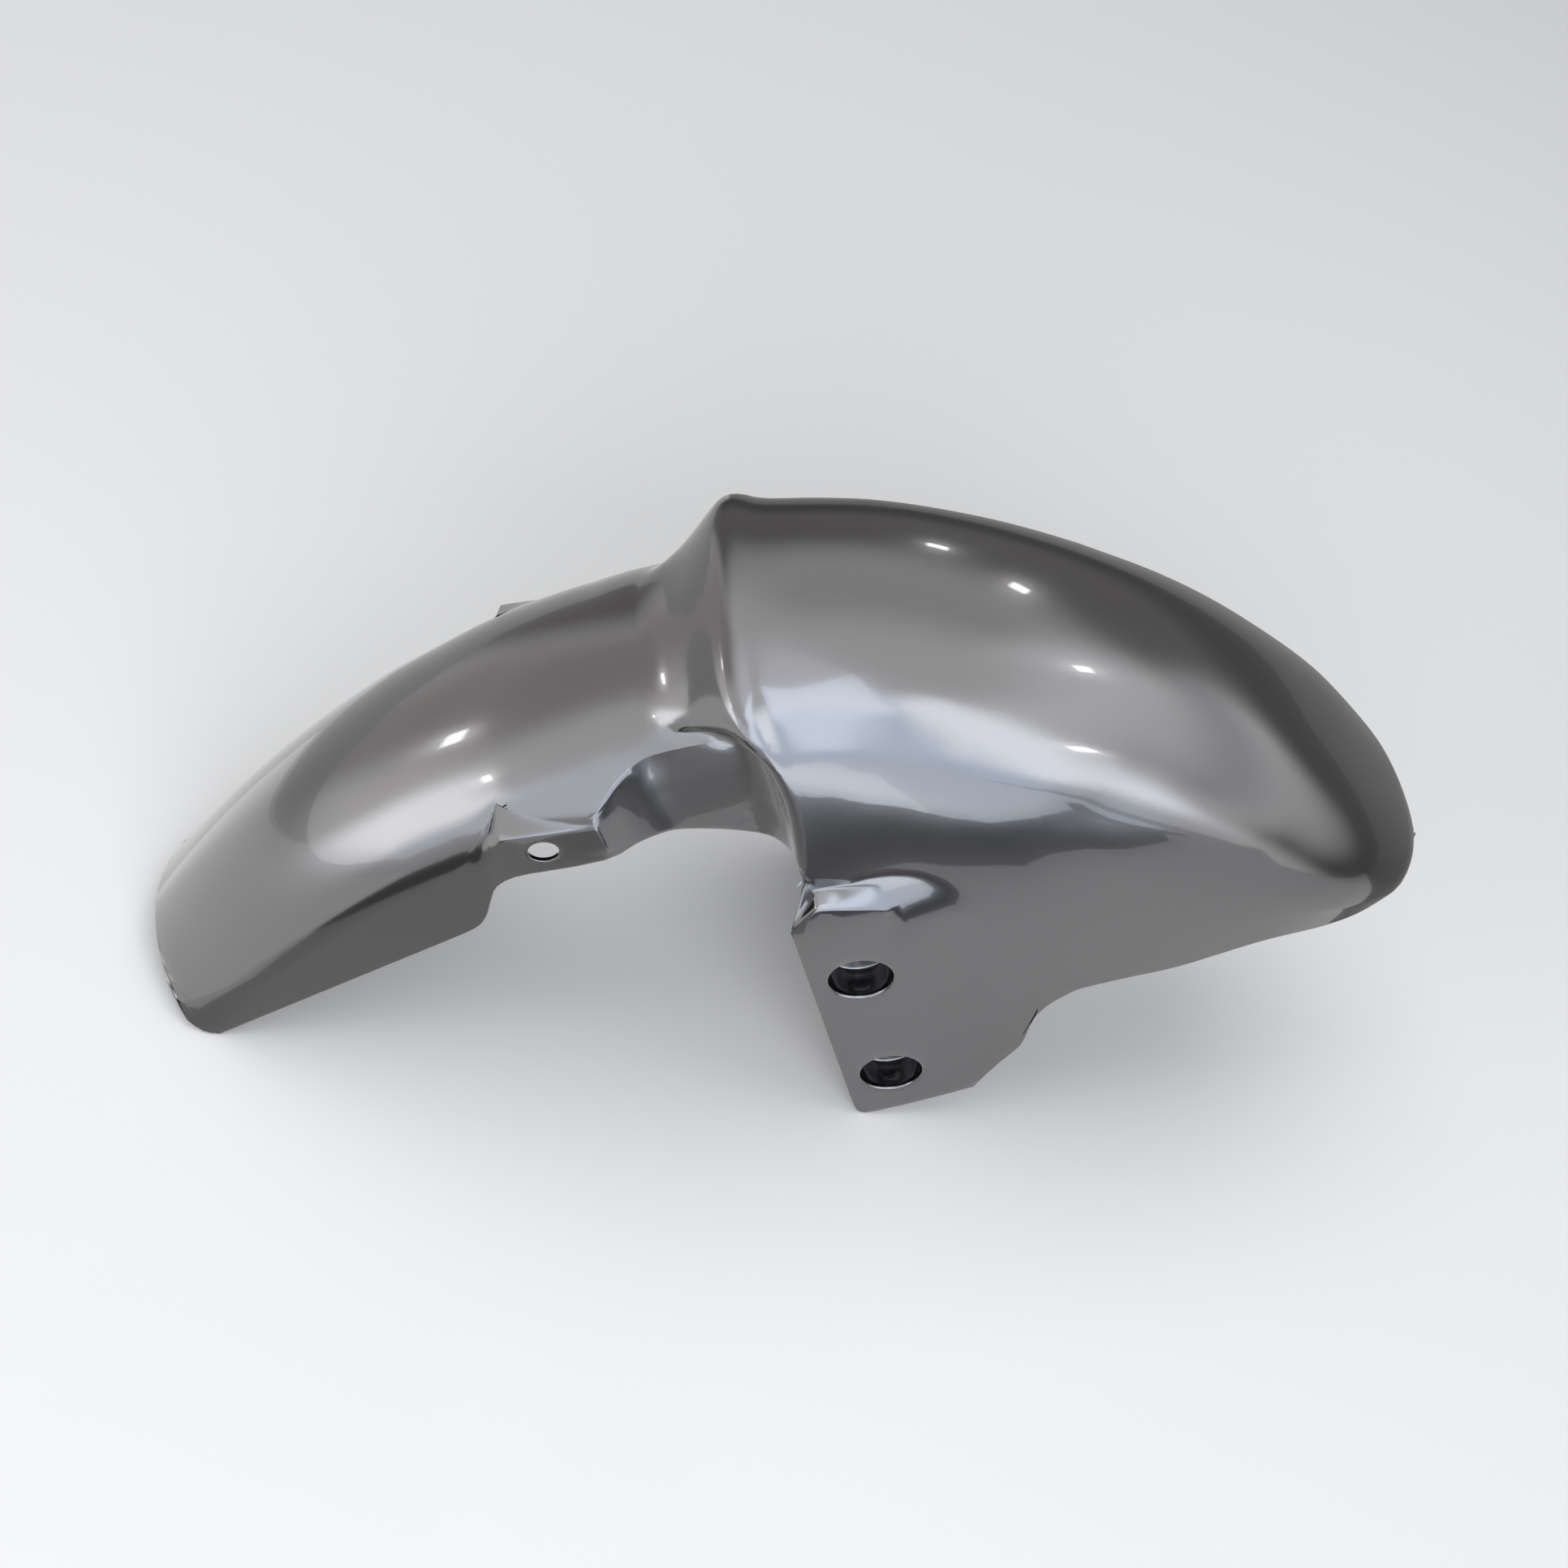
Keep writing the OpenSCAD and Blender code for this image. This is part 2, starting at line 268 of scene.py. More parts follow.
@dataclass(frozen=True)
class Lacquer:
    """Metallic paint under a clear coat.

    Attributes:
        base: colour of the metal flakes.
        base_swing: how much the flakes differ in brightness.
        roughness: how far the flakes spread a highlight.
        roughness_swing: how much that differs from place to place.
        coat_roughness: roughness of the clear coat.
        coat_ior: refraction of the clear coat.
        flake_scale: flakes per metre, for the fine sparkle.
        flake_strength: how much of the flakes' relief shows.
        flake_depth: height of the flakes, in metres.
        cloud_scale: clouds per metre in the spread of the highlights.
    """

    base: Colour = (0.135, 0.131, 0.134)
    base_swing: float = 0.12
    roughness: float = 0.2
    roughness_swing: float = 0.03
    coat_roughness: float = 0.03
    coat_ior: float = 1.5
    flake_scale: float = 2600.0
    flake_strength: float = 0.25
    flake_depth: float = 0.00002
    cloud_scale: float = 9.0

    def material(self) -> bpy.types.Material:
        """Builds the node material.

        Returns:
            The material, with its coat set on the shader itself.
        """
        nodes = Nodes.named("metallic_lacquer")
        inputs = nodes.shader.inputs
        inputs["Metallic"].default_value = 1.0
        inputs["Coat Weight"].default_value = 1.0
        inputs["Coat Roughness"].default_value = self.coat_roughness
        inputs["Coat IOR"].default_value = self.coat_ior

        place = nodes.place()
        flakes = nodes.noise(place, self.flake_scale, 2.0)
        clouds = nodes.noise(place, self.cloud_scale, 3.0)
        tone = nodes.about(flakes, 1.0, self.base_swing)
        nodes.link(nodes.scaled(self.base, tone), inputs["Base Color"])
        spread = nodes.about(clouds, self.roughness, self.roughness_swing)
        nodes.link(spread, inputs["Roughness"])
        relief = nodes.bump(flakes, self.flake_strength, self.flake_depth)
        nodes.link(relief, inputs["Normal"])
        return nodes.material


@dataclass(frozen=True)
class BareMoulding:
    """Unpainted inner face of the moulding, with its fine mould grain.

    Attributes:
        base: colour of the plastic.
        base_swing: how much the flow marks differ in brightness.
        roughness: dullness of the grain.
        roughness_swing: how much the flow marks differ in dullness.
        specular: strength of the plain reflection.
        grain_scale: grains per metre.
        grain_strength: how much of the grain's relief shows.
        grain_depth: height of the grain, in metres.
        flow_scale: flow marks per metre.
    """

    base: Colour = (0.045, 0.045, 0.048)
    base_swing: float = 0.25
    roughness: float = 0.55
    roughness_swing: float = 0.08
    specular: float = 0.45
    grain_scale: float = 900.0
    grain_strength: float = 0.4
    grain_depth: float = 0.00008
    flow_scale: float = 14.0

    def material(self) -> bpy.types.Material:
        """Builds the node material.

        Returns:
            The material.
        """
        nodes = Nodes.named("bare_moulding")
        inputs = nodes.shader.inputs
        inputs["Specular IOR Level"].default_value = self.specular

        place = nodes.place()
        grain = nodes.noise(place, self.grain_scale, 4.0)
        flow = nodes.noise(place, self.flow_scale, 4.0)
        tone = nodes.about(flow, 1.0, self.base_swing)
        nodes.link(nodes.scaled(self.base, tone), inputs["Base Color"])
        dull = nodes.about(flow, self.roughness, self.roughness_swing)
        nodes.link(dull, inputs["Roughness"])
        relief = nodes.bump(grain, self.grain_strength, self.grain_depth)
        nodes.link(relief, inputs["Normal"])
        return nodes.material


@dataclass(frozen=True)
class Region:
    """A rounded region of the shell, on both sides.

    Attributes:
        centre: its middle, on the +Y side, in metres.
        reach: its half lengths along the three axes.
        fade: how steeply its weight falls towards its edge.
    """

    centre: Point
    reach: Point
    fade: float = 3.0

    def weight(self, place: Vector) -> float:
        """How much of a region's treatment a place gets.

        Args:
            place: a point of the shell.

        Returns:
            1 in the middle, falling to 0 at the edge of the region.
        """
        away = math.sqrt(
            ((place.x - self.centre[0]) / self.reach[0]) ** 2
            + ((abs(place.y) - self.centre[1]) / self.reach[1]) ** 2
            + ((place.z - self.centre[2]) / self.reach[2]) ** 2
        )
        return max(0.0, min(1.0, self.fade * (1.0 - away)))


SHOULDER = Region((0.13, 0.08, 0.24), (0.17, 0.05, 0.08))
HOLLOW_TOP = Region((-0.072, 0.058, 0.254), (0.05, 0.034, 0.036))
PAD_REAR = Region((-0.166, 0.062, 0.18), (0.012, 0.04, 0.07))
UNROUNDED = (HOLLOW_TOP, PAD_REAR)

WELLS: tuple[Spot, ...] = ((0.025032, 0.122009), (0.060858, 0.040538))
WELL_REACH = 0.0168
TAB_FACE = 0.087
CROWN_HEIGHT = 0.3


@dataclass
class MouldedShell:
    """The painted sheet itself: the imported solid, smoothed and given its two faces.

    Angles are in degrees and lengths in metres.

    Attributes:
        lacquer: paint of the outer face.
        moulding: bare plastic of the inner face.
        merge_distance: how near two points are when they become one.
        join_turn: largest turn between two triangles that become one face.
        join_skew: how far the corners of such a face may be from square.
        downward: how far down a face looks, as the height of its normal, to lie under the crown.
        crease_angle: angle between two faces above which their edge stays crisp.
        lip_angle: angle above which an edge parts the painted face from the bare one.
        fold_angle: angle above which a fold of the painted face is rounded.
        held_angle: angle above which a fold keeps its place in the evening.
        shade_angle: angle above which the shading breaks.
        fold_width: width of a rounded fold.
        lip_width: width of a rounded lip.
        segments: faces across a rounded fold.
        unrounded_from: weight from which a region is left out of the rounding.
        evenings: how often the fairing between the folds is evened.
        evening_pair: the smoothing of one evening, and the swelling that follows it.
        ease_passes: how often the shoulder is eased.
        ease_factor: how much each of those passes smooths.
        levels: levels of smoothing.
    """

    lacquer: Lacquer = field(default_factory=Lacquer)
    moulding: BareMoulding = field(default_factory=BareMoulding)
    merge_distance: float = 0.00005
    join_turn: float = 50.0
    join_skew: float = 60.0
    downward: float = -0.9
    crease_angle: float = 38.0
    lip_angle: float = 62.0
    fold_angle: float = 30.0
    held_angle: float = 18.0
    shade_angle: float = 30.0
    fold_width: float = 0.0014
    lip_width: float = 0.0005
    segments: int = 3
    unrounded_from: float = 0.3
    evenings: int = 8
    evening_pair: tuple[float, float] = (0.5, -0.53)
    ease_passes: int = 14
    ease_factor: float = 0.5
    levels: int = 1

    def build(self, solid: bpy.types.Object) -> bpy.types.Object:
        """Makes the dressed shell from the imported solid.

        Args:
            solid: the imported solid, which is left as it is.

        Returns:
            The finished piece, with its place in its mesh.
        """
        shell = bpy.data.objects.new("painted_shell", solid.data.copy())
        bpy.context.scene.collection.objects.link(shell)
        only(shell)
        self.join_triangles()
        self.part_the_faces(shell)
        self.even_the_fairing(shell)
        self.ease(shell)
        self.round_the_folds(shell)
        self.crease_the_edges()
        self.smooth(shell)
        self.keep_in_box(shell, solid)
        return shell

    def join_triangles(self) -> None:
        """Merges the loose triangles of the active mesh and joins them to four-sided faces."""
        bpy.ops.object.mode_set(mode="EDIT")
        bpy.ops.mesh.select_all(action="SELECT")
        bpy.ops.mesh.remove_doubles(threshold=self.merge_distance)
        bpy.ops.mesh.customdata_custom_splitnormals_clear()
        bpy.ops.mesh.tris_convert_to_quads(
            face_threshold=math.radians(self.join_turn),
            shape_threshold=math.radians(self.join_skew),
        )
        bpy.ops.object.mode_set(mode="OBJECT")

    def part_the_faces(self, shell: bpy.types.Object) -> None:
        """Finds the bare inner face, from under the crown out to the lips, and paints the rest.

        Args:
            shell: the merged shell.
        """
        mesh = shell.data
        mesh.materials.clear()
        mesh.materials.append(self.lacquer.material())
        mesh.materials.append(self.moulding.material())
        bpy.ops.object.mode_set(mode="EDIT")
        bpy.ops.mesh.select_mode(type="EDGE")
        bpy.ops.mesh.select_all(action="DESELECT")
        bpy.ops.mesh.edges_select_sharp(sharpness=math.radians(self.lip_angle))
        bpy.ops.mesh.mark_sharp()
        bpy.ops.mesh.select_all(action="DESELECT")
        bpy.ops.mesh.select_mode(type="FACE")
        bpy.ops.object.mode_set(mode="OBJECT")
        for face in mesh.polygons:
            face.material_index = Side.PAINTED.value
        under_crown = min(
            (face for face in mesh.polygons if face.normal.z < self.downward),
            key=lambda face: abs(face.center.z - CROWN_HEIGHT),
        )
        under_crown.select = True
        bpy.ops.object.mode_set(mode="EDIT")
        bpy.ops.mesh.select_linked(delimit={"SHARP"})
        shell.active_material_index = Side.BARE.value
        bpy.ops.object.material_slot_assign()
        bpy.ops.mesh.select_all(action="DESELECT")
        bpy.ops.object.mode_set(mode="OBJECT")

    @staticmethod
    def pairs(mesh: bpy.types.Mesh) -> list[
        tuple[list[bpy.types.MeshPolygon], tuple[int, int]]
    ]:
        """The pairs of faces that meet in an edge.

        Args:
            mesh: the closed mesh.

        Returns:
            The two faces and the two vertices of each edge.
        """
        beside: dict[tuple[int, int], list[bpy.types.MeshPolygon]] = {}
        for face in mesh.polygons:
            for key in face.edge_keys:
                beside.setdefault(key, []).append(face)
        return [(pair, key) for key, pair in beside.items() if len(pair) == 2]

    def at_folds(self, mesh: bpy.types.Mesh, angle: float) -> set[int]:
        """The vertices at the folds of a mesh.

        Args:
            mesh: the closed mesh.
            angle: the angle, in degrees, that a fold turns by at least.

        Returns:
            Their indices.
        """
        found = set()
        for (one, two), key in self.pairs(mesh):
            if one.normal.angle(two.normal) > math.radians(angle):
                found.update(key)
        return found

    @staticmethod
    def smoothed(shell: bpy.types.Object, group: str, factor: float, passes: int) -> None:
        """Smooths a group of vertices of the active object.

        Args:
            shell: the shell.
            group: name of the group.
            factor: how much a pass smooths, or swells where it is below 0.
            passes: how often.
        """
        step = shell.modifiers.new("smoothed", "SMOOTH")
        step.factor = factor
        step.iterations = passes
        step.vertex_group = group
        bpy.ops.object.modifier_apply(modifier=step.name)

    def even_the_fairing(self, shell: bpy.types.Object) -> None:
        """Evens the faces out between their folds, which keep their place.

        Each evening smooths and then swells by a little more, so the form doesn't shrink.

        Args:
            shell: the merged shell.
        """
        held = self.at_folds(shell.data, self.held_angle)
        group = "loose"
        loose = shell.vertex_groups.new(name=group)
        for vertex in shell.data.vertices:
            if vertex.index not in held:
                plain = max(region.weight(vertex.co) for region in UNROUNDED)
                loose.add([vertex.index], 1.0 - plain, "REPLACE")
        for _ in range(self.evenings):
            for factor in self.evening_pair:
                self.smoothed(shell, group, factor, 1)

    def ease(self, shell: bpy.types.Object) -> None:
        """Eases the shoulder of the front, short of the lips.

        Args:
            shell: the evened shell.
        """
        held = self.at_folds(shell.data, self.lip_angle)
        group = "shoulder"
        loose = shell.vertex_groups.new(name=group)
        for vertex in shell.data.vertices:
            weight = SHOULDER.weight(vertex.co)
            if weight > 0.0 and vertex.index not in held:
                loose.add([vertex.index], weight, "REPLACE")
        self.smoothed(shell, group, self.ease_factor, self.ease_passes)

    def edge_widths(self, mesh: bpy.types.Mesh) -> dict[tuple[int, int], float]:
        """How wide each edge is rounded, as a share of a fold's width.

        Args:
            mesh: the mesh of the shell, parted in its two faces.

        Returns:
            The share for each edge that is rounded.
        """
        bare = Side.BARE.value
        pairs = self.pairs(mesh)
        walls = set()
        for (one, two), _ in pairs:
            if (one.material_index == bare) != (two.material_index == bare):
                walls.add(two.index if one.material_index == bare else one.index)
        share_of: dict[tuple[int, int], float] = {}
        for (one, two), key in pairs:
            turn = math.degrees(one.normal.angle(two.normal))
            middle = (mesh.vertices[key[0]].co + mesh.vertices[key[1]].co) / 2
            if any(region.weight(middle) > self.unrounded_from for region in UNROUNDED):
                continue
            at_well = abs(middle.y) > TAB_FACE and any(
                math.hypot(middle.x - x, middle.z - z) < WELL_REACH for x, z in WELLS
            )
            at_lip = one.index in walls or two.index in walls
            at_bare = bare in (one.material_index, two.material_index)
            if at_well and turn > self.lip_angle:
                share_of[key] = 1.0
            elif at_lip and turn > self.lip_angle:
                share_of[key] = self.lip_width / self.fold_width
            elif not at_lip and not at_bare and turn > self.fold_angle:
                share_of[key] = 1.0
        return share_of

    def round_the_folds(self, shell: bpy.types.Object) -> None:
        """Rounds the wells' rims and the folds of the painted face, and the lips by less.

        Args:
            shell: the evened shell, parted in its two faces.
        """
        mesh = shell.data
        share_of = self.edge_widths(mesh)
        weights = mesh.attributes.new("bevel_weight_edge", "FLOAT", "EDGE")
        for edge in mesh.edges:
            weights.data[edge.index].value = share_of.get(edge.key, 0.0)
        log.info("rounded edges: %d", len(share_of))
        rounding = shell.modifiers.new("rounded", "BEVEL")
        rounding.limit_method = "WEIGHT"
        rounding.width = self.fold_width
        rounding.segments = self.segments
        rounding.use_clamp_overlap = False
        rounding.loop_slide = False
        bpy.ops.object.modifier_apply(modifier=rounding.name)

    def crease_the_edges(self) -> None:
        """Keeps the crisp edges of the active mesh crisp through the smoothing."""
        bpy.ops.object.mode_set(mode="EDIT")
        bpy.ops.mesh.select_mode(type="EDGE")
        bpy.ops.mesh.select_all(action="DESELECT")
        bpy.ops.mesh.edges_select_sharp(sharpness=math.radians(self.crease_angle))
        bpy.ops.transform.edge_crease(value=1.0)
        bpy.ops.mesh.select_all(action="DESELECT")
        bpy.ops.object.mode_set(mode="OBJECT")

    def smooth(self, shell: bpy.types.Object) -> None:
        """Rounds the facets off and shades the shell smooth.

        Args:
            shell: the creased shell.
        """
        only(shell)
        fine = shell.modifiers.new("smoothed", "SUBSURF")
        fine.levels = fine.render_levels = self.levels
        bpy.ops.object.modifier_apply(modifier=fine.name)
        bpy.ops.object.shade_smooth_by_angle(angle=math.radians(self.shade_angle))

    @staticmethod
    def keep_in_box(shell: bpy.types.Object, solid: bpy.types.Object) -> None:
        """Brings the few points that the smoothing has pushed out back to the solid's box.

        Args:
            shell: the finished shell.
            solid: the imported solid.
        """
        for axis in range(3):
            low = min(vertex.co[axis] for vertex in solid.data.vertices)
            high = max(vertex.co[axis] for vertex in solid.data.vertices)
            for vertex in shell.data.vertices:
                vertex.co[axis] = min(high, max(low, vertex.co[axis]))


@dataclass(frozen=True)
class RoomPatch:
    """One soft-edged patch of the reflected room.

    Attributes:
        azimuth: middle of the patch, in degrees from +Y towards +X.
        half: half of its width, in degrees.
        low: elevation of its lower side, in degrees.
        high: elevation of its upper side.
        soft: half width of its soft edges.
        level: its brightness.
        colour: its colour.
    """

    azimuth: float
    half: float
    low: float
    high: float
    soft: float
    level: float
    colour: Colour = WHITE


ROOM = (
    RoomPatch(-110.0, 80.0, 66.0, 100.0, 10.0, 2.2, (0.98, 1.0, 1.06)),
    RoomPatch(12.0, 50.0, -90.0, 44.0, 10.0, 0.34, WARM),
    RoomPatch(15.0, 32.0, 46.0, 62.0, 10.0, 1.0),
    RoomPatch(-60.0, 20.0, 14.0, 54.0, 10.0, 0.8, WARM),
    RoomPatch(-52.0, 14.0, -90.0, 20.0, 9.0, 0.8, WARM),
    RoomPatch(30.0, 45.0, -90.0, 14.0, 8.0, 0.12),
    RoomPatch(80.0, 42.0, -90.0, 15.0, 8.0, 0.16),
    RoomPatch(92.0, 32.0, 24.0, 34.0, 7.0, 1.05, (0.98, 1.0, 1.05)),
    RoomPatch(95.0, 42.0, 42.0, 62.0, 9.0, 2.1, (0.99, 1.0, 1.02)),
    RoomPatch(-84.0, 12.0, 3.0, 24.0, 9.0, 1.8, (1.0, 0.99, 0.96)),
    RoomPatch(-140.0, 26.0, 0.0, 40.0, 8.0, 2.2, (0.93, 0.99, 1.07)),
    RoomPatch(-103.0, 15.0, 0.0, 24.0, 7.0, 4.2, (0.98, 1.0, 1.03)),
    RoomPatch(172.0, 24.0, -12.0, 74.0, 8.0, 2.5, (0.84, 0.97, 1.16)),
    RoomPatch(-174.0, 12.0, 12.0, 66.0, 7.0, 3.8, (0.88, 0.98, 1.14)),
    RoomPatch(-168.0, 28.0, 60.0, 90.0, 6.0, 4.0, (0.9, 0.98, 1.1)),
    RoomPatch(146.0, 12.0, 12.0, 73.0, 7.0, 4.2, (0.95, 1.0, 1.07)),
)

SPARKS = (
    RoomPatch(66.0, 2.0, 49.5, 52.5, 0.6, 16.0),
    RoomPatch(132.0, 2.0, 36.0, 38.5, 0.6, 16.0),
    RoomPatch(33.0, 1.6, 39.0, 41.0, 0.5, 16.0),
    RoomPatch(18.0, 1.6, 33.0, 35.0, 0.5, 14.0),
    RoomPatch(-68.0, 2.0, 18.0, 20.5, 0.6, 16.0),
    RoomPatch(-96.0, 2.0, 24.0, 26.0, 0.6, 16.0),
)


@dataclass(frozen=True)
class RoomPaint:
    """Paint of the reflected room: a plain level with patches laid over it, one after the other.

    Attributes:
        level: brightness where there is no patch.
        patches: the patches, the last on top.
    """

    level: float = 1.6
    patches: tuple[RoomPatch, ...] = ROOM + SPARKS

    def material(self) -> bpy.types.Material:
        """Builds the node material.

        Returns:
            The material, which only glows.
        """
        nodes = Nodes.named("reflected_room")
        glow = nodes.only_glows()
        aim = nodes.add("ShaderNodeVectorMath", "NORMALIZE")
        nodes.link(nodes.place(), aim.inputs[0])
        parts = nodes.add("ShaderNodeSeparateXYZ")
        nodes.link(aim.outputs["Vector"], parts.inputs["Vector"])
        lift = nodes.add("ShaderNodeMath", "ARCSINE")
        nodes.link(parts.outputs["Z"], lift.inputs[0])
        flat = nodes.add("ShaderNodeVectorMath", "MULTIPLY")
        flat.inputs[1].default_value = (1.0, 1.0, 0.0)
        nodes.link(aim.outputs["Vector"], flat.inputs[0])
        heading = nodes.add("ShaderNodeVectorMath", "NORMALIZE")
        nodes.link(flat.outputs["Vector"], heading.inputs[0])

        paint = nodes.add("ShaderNodeRGB")
        paint.outputs[0].default_value = rgba(WHITE, self.level)
        top = paint.outputs[0]
        for patch in self.patches:
            top = self.lay(nodes, patch, top, lift.outputs[0], heading.outputs["Vector"])
        nodes.link(top, glow)
        return nodes.material

    @staticmethod
    def lay(nodes: Nodes, patch: RoomPatch, under: Socket, lift: Socket, heading: Socket) -> Socket:
        """Lays one patch over what is there.

        Args:
            nodes: the material's nodes.
            patch: the patch.
            under: the colour under it.
            lift: the elevation, in radians.
            heading: the level direction.

        Returns:
            The colour with the patch on it.
        """
        turn = math.radians(patch.azimuth)
        toward = nodes.add("ShaderNodeVectorMath", "DOT_PRODUCT")
        toward.inputs[1].default_value = (math.sin(turn), math.cos(turn), 0.0)
        nodes.link(heading, toward.inputs[0])
        angle = nodes.add("ShaderNodeMath", "ARCCOSINE")
        nodes.link(toward.outputs["Value"], angle.inputs[0])
        sides = (
            (angle.outputs[0], patch.half + patch.soft, patch.half - patch.soft),
            (lift, patch.low - patch.soft, patch.low + patch.soft),
            (lift, patch.high + patch.soft, patch.high - patch.soft),
        )
        cover = None
        for value, outside, inside in sides:
            edge = nodes.add("ShaderNodeMapRange")
            edge.interpolation_type = "SMOOTHSTEP"
            edge.inputs["From Min"].default_value = math.radians(outside)
            edge.inputs["From Max"].default_value = math.radians(inside)
            nodes.link(value, edge.inputs["Value"])
            if cover is None:
                cover = edge.outputs["Result"]
                continue
            both = nodes.add("ShaderNodeMath", "MULTIPLY")
            nodes.link(cover, both.inputs[0])
            nodes.link(edge.outputs["Result"], both.inputs[1])
            cover = both.outputs[0]
        mix = nodes.add("ShaderNodeMix")
        mix.data_type = "RGBA"
        factor, below, above = mix.inputs[0], mix.inputs[6], mix.inputs[7]
        above.default_value = rgba(patch.colour, patch.level)
        nodes.link(cover, factor)
        nodes.link(under, below)
        return mix.outputs[2]


@dataclass(frozen=True)
class FloorCard:
    """One flat card on the floor that only shows in reflections.

    Attributes:
        name: name of the card.
        corners: its corners on the floor, in metres.
        level: its brightness.
        colour: its colour.
    """

    name: str
    corners: tuple[Spot, ...]
    level: float
    colour: Colour = WHITE


CARDS = (
    FloorCard("card_back", ((0.0, 0.3), (2.9, 0.3), (2.9, 2.9), (0.0, 2.9)), 0.25),
    FloorCard("card_back_left", ((-2.9, 0.3), (0.0, 0.3), (0.0, 2.9), (-2.9, 2.9)), 0.6),
    FloorCard("card_right", ((0.36, -0.1), (2.9, -0.35), (2.9, 0.3), (0.34, 0.3)), 0.22),
    FloorCard("card_left", (
        (-2.9, -0.6), (-0.45, -0.5), (-0.34, -0.25), (-0.315, -0.05), (-0.36, 0.27), (-2.9, 0.27),
    ), 1.2),
    FloorCard("card_tail_near", (
        (-0.31, -0.2), (-0.02, -0.22), (-0.02, -0.09), (-0.3, -0.05),
    ), 0.5),
    FloorCard("card_tail", (
        (-0.37, -0.42), (-0.16, -0.42), (-0.16, -0.215), (-0.32, -0.19),
    ), 0.14),
    FloorCard("card_bright", (
        (-0.04, -0.24), (0.06, -0.265), (0.16, -0.33), (0.26, -0.445), (0.36, -0.59),
        (0.47, -0.73), (0.6, -0.99), (0.9, -1.3), (0.9, -2.9), (-0.1, -2.9),
    ), 2.4, (0.88, 0.98, 1.1)),
    FloorCard("card_window", (
        (-0.04, -0.27), (0.09, -0.3), (0.16, -2.9), (-0.1, -2.9),
    ), 3.3, (0.9, 0.98, 1.08)),
    FloorCard("card_dark_left", (
        (-0.11, -0.2), (0.02, -0.21), (0.02, -0.28), (-0.11, -0.31),
    ), 0.35),
    FloorCard("card_dark", (
        (0.02, -0.205), (0.16, -0.272), (0.27, -0.39), (0.38, -0.53), (0.5, -0.68),
        (0.62, -0.89), (0.9, -1.15), (0.9, -1.22), (0.57, -0.96), (0.45, -0.745), (0.34, -0.59),
        (0.25, -0.465), (0.15, -0.345), (0.02, -0.275),
    ), 0.05),
)


@dataclass(frozen=True)
class Lamp:
    """One soft lamp, which lights the set and doesn't show in reflections.

    Attributes:
        name: name of the lamp.
        place: where it hangs, in metres.
        aim: the point it faces.
        size: its width and height, in metres.
        power: its power, in watts.
        colour: colour of its light.
    """

    name: str
    place: Point
    aim: Point
    size: Spot
    power: float
    colour: Colour = WHITE

    def hang(self) -> None:
        """Hangs the lamp."""
        light = bpy.data.lights.new(self.name, "AREA")
        light.shape = "RECTANGLE"
        light.size, light.size_y = self.size
        light.energy = self.power
        light.color = self.colour
        lamp = bpy.data.objects.new(self.name, light)
        lamp.location = self.place
        way = Vector(self.aim) - Vector(self.place)
        lamp.rotation_euler = way.to_track_quat("-Z", "Y").to_euler()
        lamp.visible_glossy = False
        bpy.context.scene.collection.objects.link(lamp)


LAMPS = (
    Lamp("key", (-0.1, -2.2, 1.6), (0.0, 0.0, 0.1), (2.6, 1.6), 40.0, (0.97, 0.98, 1.0)),
    Lamp("side", (-2.3, -1.0, 1.0), (-0.1, 0.0, 0.15), (1.2, 1.2), 15.0, (1.0, 0.99, 0.97)),
    Lamp("top", (0.0, 0.2, 2.6), (0.0, 0.0, 0.0), (2.4, 2.0), 27.0),
)


@dataclass(frozen=True)
class Viewpoint:
    """Where the photograph was taken from.

    Attributes:
        place: the camera's place, in metres.
        right: direction of the picture's right side.
        up: direction of the picture's upper side.
        back: direction from the part to the camera.
        sensor: width of the sensor, in millimetres.
        focal: focal length, in pixels of the photograph.
        picture: width of the photograph, in pixels.
        clip: nearest and farthest distance that shows, in metres.
    """

    place: Point = (-0.261943, -0.721814, 1.056267)
    right: Point = (0.974375, -0.066472, 0.214882)
    up: Point = (-0.080745, 0.788287, 0.609987)
    back: Point = (-0.209936, -0.611707, 0.76272)
    sensor: float = 36.0
    focal: float = 3000.0
    picture: float = 1932.0
    clip: tuple[float, float] = (0.05, 20.0)

    def set_up(self) -> None:
        """Sets the camera up."""
        data = bpy.data.cameras.new("camera")
        data.sensor_width = self.sensor
        data.lens = self.sensor * self.focal / self.picture
        data.clip_start, data.clip_end = self.clip
        camera = bpy.data.objects.new("camera", data)
        axes = Matrix((self.right, self.up, self.back)).transposed().to_4x4()
        camera.matrix_world = Matrix.Translation(self.place) @ axes
        bpy.context.scene.collection.objects.link(camera)
        bpy.context.scene.camera = camera


